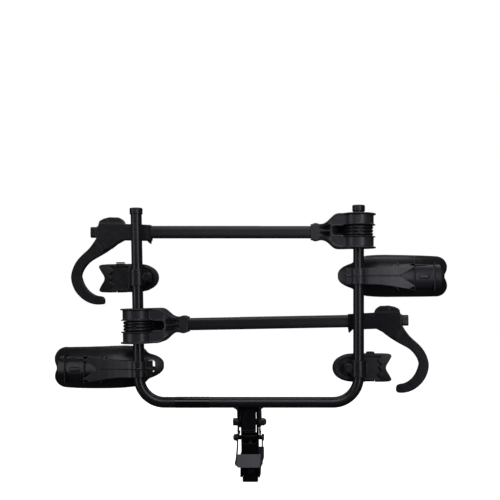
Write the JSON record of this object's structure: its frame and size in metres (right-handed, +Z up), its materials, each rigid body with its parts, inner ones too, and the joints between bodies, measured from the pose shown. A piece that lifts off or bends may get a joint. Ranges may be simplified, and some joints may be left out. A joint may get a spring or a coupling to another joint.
{
  "type": "hitch mounted bike rack",
  "caption": "Folding hitch bike rack: tube frame with wheel scoops, rear cradles and sliding hook arms on a latched mast and square receiver stinger.",
  "frame": {"origin": "centre of the hitch pin hole in the stinger", "axes": "+X across the vehicle to the right when standing behind it, along the hitch pin; +Y forward into the receiver; +Z up; the rack is folded upright"},
  "size_m": [1.4197, 0.5185, 0.9872],
  "materials": {
    "steel_black": "satin black powder coat",
    "cast_black": "satin black coated casting",
    "arm_black": "satin black anodised extrusion",
    "nylon_black": "fine textured black moulding",
    "gloss_band": "clear-coated gloss black film",
    "rubber_black": "matte",
    "hardware": "black zinc plated",
    "pedal_grey": "worn satin black powder coat",
    "bronze": "sintered"
  },
  "bodies": {
    "receiver": {"stinger_tube": "steel_black", "stinger_end_plug": "nylon_black", "mast": "steel_black", "mast_gussets": "steel_black", "latch_spring_seat": "steel_black", "latch_spring": "hardware", "pivot_bushes": "nylon_black"},
    "cam_bolt": {"cam_bolt": "hardware"},
    "cam_wedge": {"cam_wedge": "steel_black"},
    "cam_nut": {"cam_nut": "hardware"},
    "latch": {"latch_pin": "hardware", "latch_nuts": "hardware", "pedal_straps": "steel_black", "foot_pedal": "pedal_grey", "pedal_rivets": "hardware"},
    "frame": {"u_frame_tube": "steel_black", "leg_end_caps": "nylon_black", "label_band": "gloss_band", "frame_side_plates": "steel_black", "bracket_web": "arm_black", "pivot_bolt": "hardware", "pivot_nut": "hardware", "pivot_collars": "cast_black", "collar_screws": "hardware", "right_wheel_tray": "nylon_black", "right_tray_saddle": "nylon_black", "right_tray_clamp": "nylon_black", "left_wheel_tray": "nylon_black", "left_tray_saddle": "nylon_black", "left_tray_clamp": "nylon_black", "tray_clamp_bolts": "hardware", "upper_cradle": "nylon_black", "upper_cradle_clamp": "nylon_black", "upper_cradle_strap": "rubber_black", "upper_buckle_base": "nylon_black", "lower_cradle": "nylon_black", "lower_cradle_clamp": "nylon_black", "lower_cradle_strap": "rubber_black", "lower_buckle_base": "nylon_black", "cradle_clamp_bolts": "hardware"},
    "upper_buckle": {"upper_buckle_lever": "nylon_black"},
    "lower_buckle": {"lower_buckle_lever": "nylon_black"},
    "upper_arm": {"upper_fork": "cast_black", "upper_fork_bushes": "bronze", "upper_arm_tube": "arm_black", "upper_rack": "arm_black", "upper_arm_end_cap": "nylon_black"},
    "upper_head": {"upper_hook": "nylon_black", "upper_hook_pad": "rubber_black", "upper_lever_pin": "hardware"},
    "upper_release": {"upper_release_lever": "nylon_black"},
    "lower_arm": {"lower_fork": "cast_black", "lower_fork_bushes": "bronze", "lower_arm_tube": "arm_black", "lower_rack": "arm_black", "lower_arm_end_cap": "nylon_black"},
    "lower_head": {"lower_hook": "nylon_black", "lower_hook_pad": "rubber_black", "lower_lever_pin": "hardware"},
    "lower_release": {"lower_release_lever": "nylon_black"}
  },
  "joints": [
    {"name": "frame_fold", "type": "hinge", "parent": "receiver", "child": "frame", "pos_m": [0, -0.286, 0.195], "axis": [1, 0, 0], "range_deg": [0, 120]},
    {"name": "latch_slide", "type": "slide", "parent": "receiver", "child": "latch", "axis": [0, -0.2079, 0.9781], "range_m": [0, 0.009], "deforming": ["latch_spring"]},
    {"name": "upper_arm_swing", "type": "hinge", "parent": "frame", "child": "upper_arm", "pos_m": [0.3845, -0.333, 0.87], "axis": [0, 0, -1], "range_deg": [0, 120]},
    {"name": "lower_arm_swing", "type": "hinge", "parent": "frame", "child": "lower_arm", "pos_m": [-0.38576, -0.333, 0.5386], "axis": [-0.0187, 0, 0.9998], "range_deg": [0, 120]},
    {"name": "upper_head_slide", "type": "slide", "parent": "upper_arm", "child": "upper_head", "axis": [1, 0, 0], "range_m": [0, 0.375]},
    {"name": "lower_head_slide", "type": "slide", "parent": "lower_arm", "child": "lower_head", "axis": [-0.9998, 0, -0.0187], "range_m": [0, 0.375]},
    {"name": "upper_release_squeeze", "type": "hinge", "parent": "upper_head", "child": "upper_release", "pos_m": [-0.5008, -0.275, 0.9124], "axis": [0, -1, 0], "range_deg": [0, 12], "stiffness_Nm_per_rad": 1.2},
    {"name": "lower_release_squeeze", "type": "hinge", "parent": "lower_head", "child": "lower_release", "pos_m": [0.49859, -0.275, 0.59752], "axis": [0, 1, 0], "range_deg": [0, 12], "stiffness_Nm_per_rad": 1.2},
    {"name": "upper_buckle_flip", "type": "hinge", "parent": "frame", "child": "upper_buckle", "pos_m": [-0.45531, -0.305, 0.75987], "axis": [0.9998, 0, 0.0187], "range_deg": [0, 70]},
    {"name": "lower_buckle_flip", "type": "hinge", "parent": "frame", "child": "lower_buckle", "pos_m": [0.4271, -0.305, 0.4439], "axis": [1, 0, 0], "range_deg": [0, 70]},
    {"name": "cam_turn", "type": "hinge", "parent": "receiver", "child": "cam_bolt", "pos_m": [0, -0.255, 0.0126], "axis": [0, 1, 0], "range_deg": [0, 576.5]},
    {"name": "cam_climb", "type": "slide", "parent": "receiver", "child": "cam_wedge", "axis": [0, -0.4996, 0.8662], "range_m": [0, 0.004]},
    {"name": "cam_nut_draw", "type": "slide", "parent": "receiver", "child": "cam_nut", "axis": [0, -1, 0], "range_m": [0, 0.0022]}
  ],
  "couplings": [
    {"joint": "cam_turn", "follows": "cam_climb", "rad_per_m": 2513.3},
    {"joint": "cam_nut_draw", "follows": "cam_climb", "ratio": 0.49962}
  ]
}
